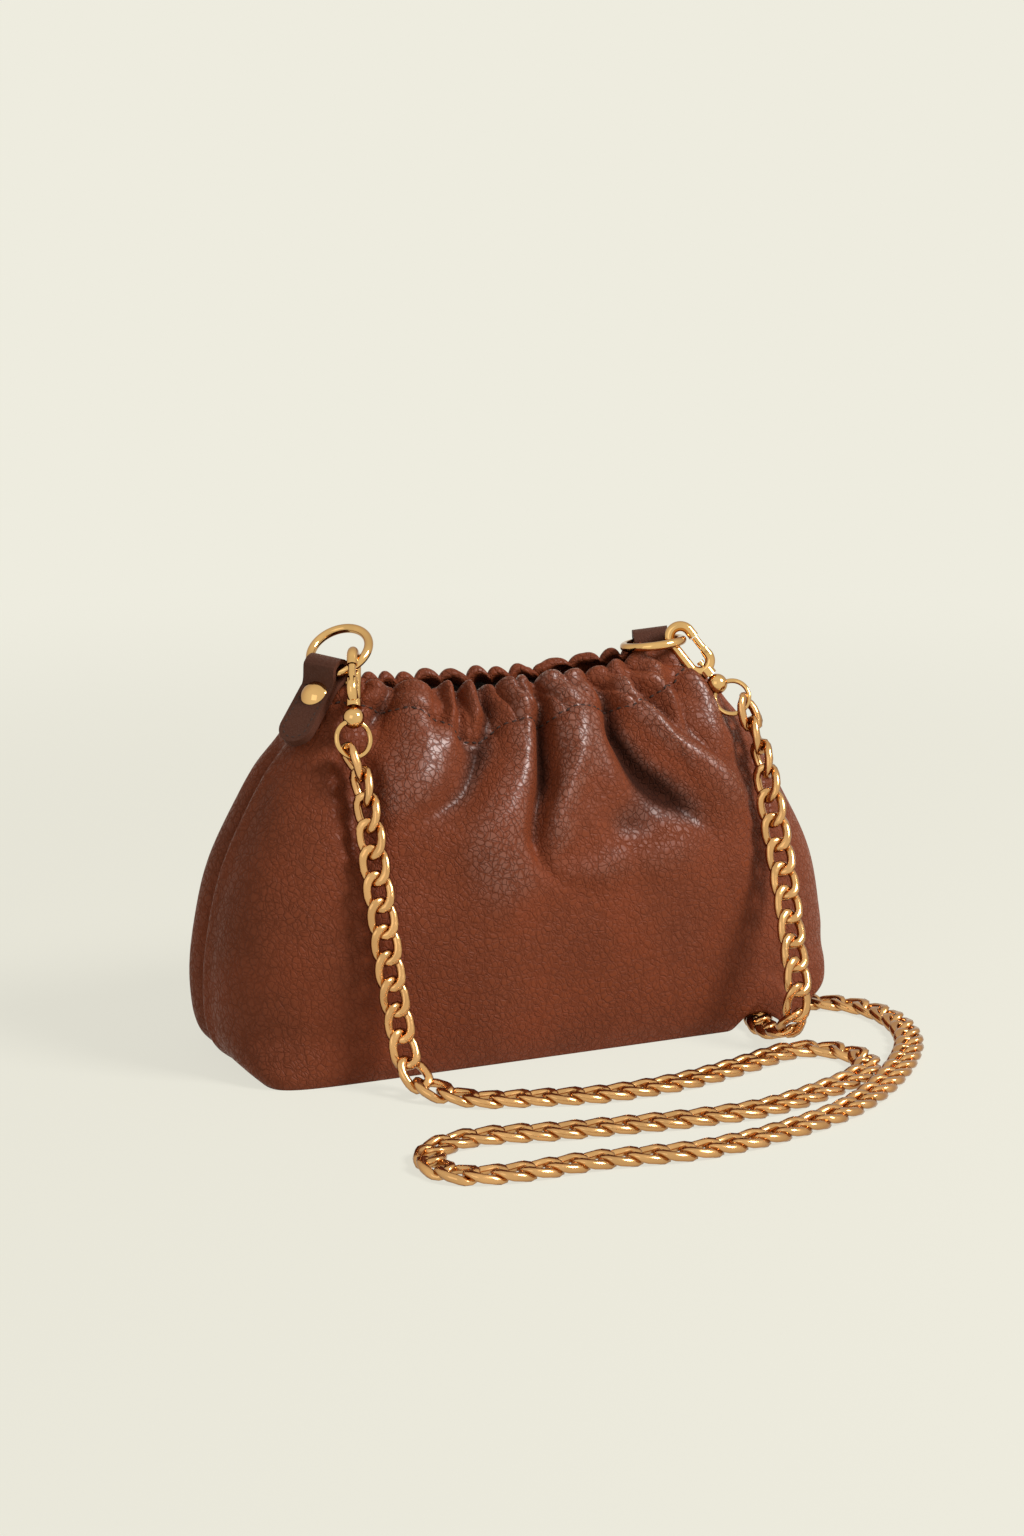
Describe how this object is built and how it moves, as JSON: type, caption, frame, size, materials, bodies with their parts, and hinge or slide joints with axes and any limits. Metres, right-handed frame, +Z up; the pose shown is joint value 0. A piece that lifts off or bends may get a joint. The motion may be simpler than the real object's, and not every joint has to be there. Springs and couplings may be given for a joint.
{
  "type": "chain shoulder bag",
  "caption": "Gathered soft shoulder bag with a curb-chain strap on swivel snap hooks, held by round rings in folded tabs at the ends of its mouth.",
  "frame": {"origin": "on the floor, under the middle of the leather body's box", "axes": "+X to the right of the bag as it is seen from its front, -Y towards the front, +Z up; the chain lies in front"},
  "size_m": [0.2813, 0.2265, 0.1711],
  "materials": {
    "body_leather": "brown pebbled leather with a soft sheen",
    "tab_leather": "darker, smoother leather",
    "lining_cloth": "plain woven lining",
    "elastic": "woven elastic band",
    "stiffener_board": "plain matt board",
    "magnet_metal": "plated magnet case",
    "gold_metal": "warm pale gold, polished",
    "gold_chain": "warm pale gold, softly scratched faces and polished edges",
    "pin_steel": "plated pin"
  },
  "bodies": {
    "bag": {"front_panel": "body_leather", "back_panel": "body_leather", "base_panel": "body_leather", "base_board": "stiffener_board", "lining": "lining_cloth", "mouth_elastic": "elastic", "front_magnet": "magnet_metal", "back_magnet": "magnet_metal", "left_tab": "tab_leather", "right_tab": "tab_leather", "left_rivet": "gold_metal", "right_rivet": "gold_metal", "left_rivet_base": "gold_metal", "right_rivet_base": "gold_metal", "chain_left_hang": "gold_chain", "chain_floor": "gold_chain", "chain_right_hang": "gold_chain"},
    "left_ring_set": {"left_ring": "gold_metal", "left_swivel": "gold_metal", "left_jump_ring": "gold_metal"},
    "left_hook_set": {"left_hook": "gold_metal", "left_gate_pin": "pin_steel"},
    "left_gate_arm": {"left_gate": "gold_metal"},
    "right_ring_set": {"right_ring": "gold_metal", "right_swivel": "gold_metal", "right_jump_ring": "gold_metal"},
    "right_hook_set": {"right_hook": "gold_metal", "right_gate_pin": "pin_steel"},
    "right_gate_arm": {"right_gate": "gold_metal"}
  },
  "joints": [
    {"name": "left_ring_swing", "type": "hinge", "parent": "bag", "child": "left_ring_set", "pos_m": [-0.08264, -0.00446, 0.15566], "axis": [0.5625, -0.8222, -0.0875], "range_deg": [-20, 12], "deforming": ["chain_left_hang"]},
    {"name": "left_hook_turn", "type": "hinge", "parent": "left_ring_set", "child": "left_hook_set", "pos_m": [-0.07324, -0.01046, 0.15846], "axis": [0.2409, 0.6124, 0.7529], "range_deg": [-8, 4]},
    {"name": "left_gate_open", "type": "hinge", "parent": "left_hook_set", "child": "left_gate_arm", "pos_m": [-0.07773, -0.02026, 0.15293], "axis": [-0.8864, 0.4548, -0.0863], "range_deg": [0, 30], "stiffness_Nm_per_rad": 0.01, "springref_deg": -17.19},
    {"name": "right_ring_swing", "type": "hinge", "parent": "bag", "child": "right_ring_set", "pos_m": [0.06432, 0.00721, 0.15504], "axis": [-0.9283, 0.3504, -0.1242], "range_deg": [0, 25], "deforming": ["chain_right_hang"]},
    {"name": "right_hook_turn", "type": "hinge", "parent": "right_ring_set", "child": "right_hook_set", "pos_m": [0.07107, -0.00627, 0.1582], "axis": [-0.5052, 0.394, 0.7678], "range_deg": [-15, 15]},
    {"name": "right_gate_open", "type": "hinge", "parent": "right_hook_set", "child": "right_gate_arm", "pos_m": [0.08012, -0.0118, 0.15233], "axis": [-0.4297, -0.8864, 0.1722], "range_deg": [0, 30], "stiffness_Nm_per_rad": 0.01, "springref_deg": -17.19}
  ]
}
